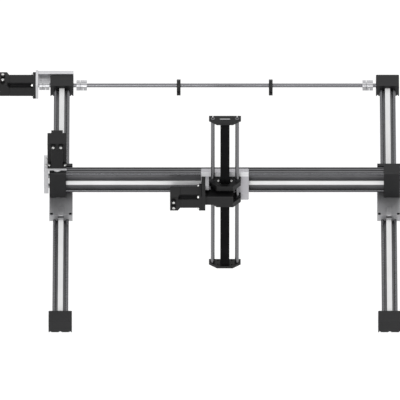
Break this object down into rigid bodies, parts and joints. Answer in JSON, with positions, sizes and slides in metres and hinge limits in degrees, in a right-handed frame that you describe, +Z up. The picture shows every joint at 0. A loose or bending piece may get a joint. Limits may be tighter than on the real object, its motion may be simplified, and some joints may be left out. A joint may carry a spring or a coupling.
{
  "type": "gantry robot",
  "caption": "Cartesian gantry robot: parallel belt rails joined by a shaft, a crossing belt beam and a vertical rack axis on a trolley, each with its motor.",
  "frame": {"origin": "in the mounting plane under the rails, midway between them and midway along them", "axes": "+X along the beam to the right, +Y along the rails away from the front, +Z up"},
  "size_m": [1.2638, 1.113, 0.6448],
  "materials": {
    "rail_aluminium": "clear anodised extrusion",
    "black_aluminium": "black anodised, fine bead blast",
    "rod_steel": "ground and hardened",
    "belt_urethane": "white polyurethane, satin",
    "bearing_steel": "ground",
    "bush_polymer": "moulded",
    "motor_black": "black powder coat",
    "connector_metal": "nickel plated",
    "bracket_aluminium": "clear anodised plate",
    "coupling_aluminium": "turned, bright",
    "trolley_aluminium": "clear anodised plate",
    "shaft_steel": "ground",
    "rack_steel": "black oxide",
    "screw_steel": "black oxide"
  },
  "bodies": {
    "base": {"left_rail_profile": "rail_aluminium", "right_rail_profile": "rail_aluminium", "rail_rods": "rod_steel", "left_drive_block": "black_aluminium", "right_drive_block": "black_aluminium", "left_idler_block": "black_aluminium", "right_idler_block": "black_aluminium", "left_rail_belt": "belt_urethane", "right_rail_belt": "belt_urethane", "rail_idler_axles": "shaft_steel", "drive_bearings": "bearing_steel", "shaft_supports": "black_aluminium", "support_bushes": "bush_polymer", "rail_motor_body": "motor_black", "rail_motor_cover": "motor_black", "rail_motor_connectors": "connector_metal", "rail_motor_bracket": "bracket_aluminium"},
    "drive_line": {"sync_shaft": "shaft_steel", "shaft_couplings": "coupling_aluminium", "drive_pulleys": "bearing_steel", "rail_motor_coupling": "coupling_aluminium"},
    "left_idler": {"left_idler_pulley": "bearing_steel"},
    "right_idler": {"right_idler_pulley": "bearing_steel"},
    "bridge": {"left_carriage_plate": "bracket_aluminium", "right_carriage_plate": "bracket_aluminium", "carriage_housings": "bracket_aluminium", "carriage_bushes": "bush_polymer", "rail_belt_clamps": "bracket_aluminium", "carriage_screws": "screw_steel", "beam_adapters": "black_aluminium", "beam_profile": "rail_aluminium", "beam_rods": "rod_steel", "beam_drive_block": "black_aluminium", "beam_idler_block": "black_aluminium", "beam_idler_axle": "shaft_steel", "beam_bearings": "bearing_steel", "beam_belt": "belt_urethane", "beam_motor_body": "motor_black", "beam_motor_cover": "motor_black", "beam_motor_connectors": "connector_metal", "beam_motor_bracket": "bracket_aluminium"},
    "beam_drive": {"beam_drive_pulley": "bearing_steel", "beam_coupling": "coupling_aluminium"},
    "beam_idler": {"beam_idler_pulley": "bearing_steel"},
    "trolley": {"trolley_plate": "trolley_aluminium", "trolley_housings": "trolley_aluminium", "trolley_bushes": "bush_polymer", "trolley_belt_clamp": "bracket_aluminium", "upper_guide": "black_aluminium", "lower_guide": "black_aluminium", "guide_bushes": "bush_polymer", "guide_spacer": "trolley_aluminium", "ram_drive_housing": "black_aluminium", "ram_motor_body": "motor_black", "ram_motor_cover": "motor_black", "ram_motor_connectors": "connector_metal"},
    "pinion": {"drive_pinion": "shaft_steel"},
    "ram": {"ram_rods": "rod_steel", "ram_rack": "rack_steel", "ram_top_plate": "black_aluminium", "ram_bottom_plate": "black_aluminium"}
  },
  "joints": [
    {"name": "rail_travel", "type": "slide", "parent": "base", "child": "bridge", "axis": [0, 1, 0], "range_m": [-0.411, 0.384]},
    {"name": "beam_travel", "type": "slide", "parent": "bridge", "child": "trolley", "axis": [1, 0, 0], "range_m": [-0.402, 0.402]},
    {"name": "ram_travel", "type": "slide", "parent": "trolley", "child": "ram", "axis": [0, 0, 1], "range_m": [-0.255, 0.268]},
    {"name": "drive_line_spin", "type": "hinge", "parent": "base", "child": "drive_line", "pos_m": [0, 0.5245, 0.0223], "axis": [1, 0, 0], "range_deg": [-2700, 2700]},
    {"name": "left_idler_spin", "type": "hinge", "parent": "base", "child": "left_idler", "pos_m": [-0.5145, -0.5245, 0.0223], "axis": [1, 0, 0], "range_deg": [-2700, 2700]},
    {"name": "right_idler_spin", "type": "hinge", "parent": "base", "child": "right_idler", "pos_m": [0.5145, -0.5245, 0.0223], "axis": [1, 0, 0], "range_deg": [-2700, 2700]},
    {"name": "beam_drive_spin", "type": "hinge", "parent": "bridge", "child": "beam_drive", "pos_m": [-0.526, 0.0127, 0.1075], "axis": [0, 0, 1], "range_deg": [-2700, 2700]},
    {"name": "beam_idler_spin", "type": "hinge", "parent": "bridge", "child": "beam_idler", "pos_m": [0.526, 0.0127, 0.1075], "axis": [0, 0, 1], "range_deg": [-2700, 2700]},
    {"name": "pinion_spin", "type": "hinge", "parent": "trolley", "child": "pinion", "pos_m": [0, -0.058, 0.105], "axis": [1, 0, 0], "range_deg": [-1200, 1200]}
  ],
  "couplings": [
    {"joint": "drive_line_spin", "follows": "rail_travel", "rad_per_m": -108.7},
    {"joint": "left_idler_spin", "follows": "rail_travel", "rad_per_m": -108.7},
    {"joint": "right_idler_spin", "follows": "rail_travel", "rad_per_m": -108.7},
    {"joint": "beam_drive_spin", "follows": "beam_travel", "rad_per_m": 108.7},
    {"joint": "beam_idler_spin", "follows": "beam_travel", "rad_per_m": 108.7},
    {"joint": "pinion_spin", "follows": "ram_travel", "rad_per_m": 74.074}
  ]
}
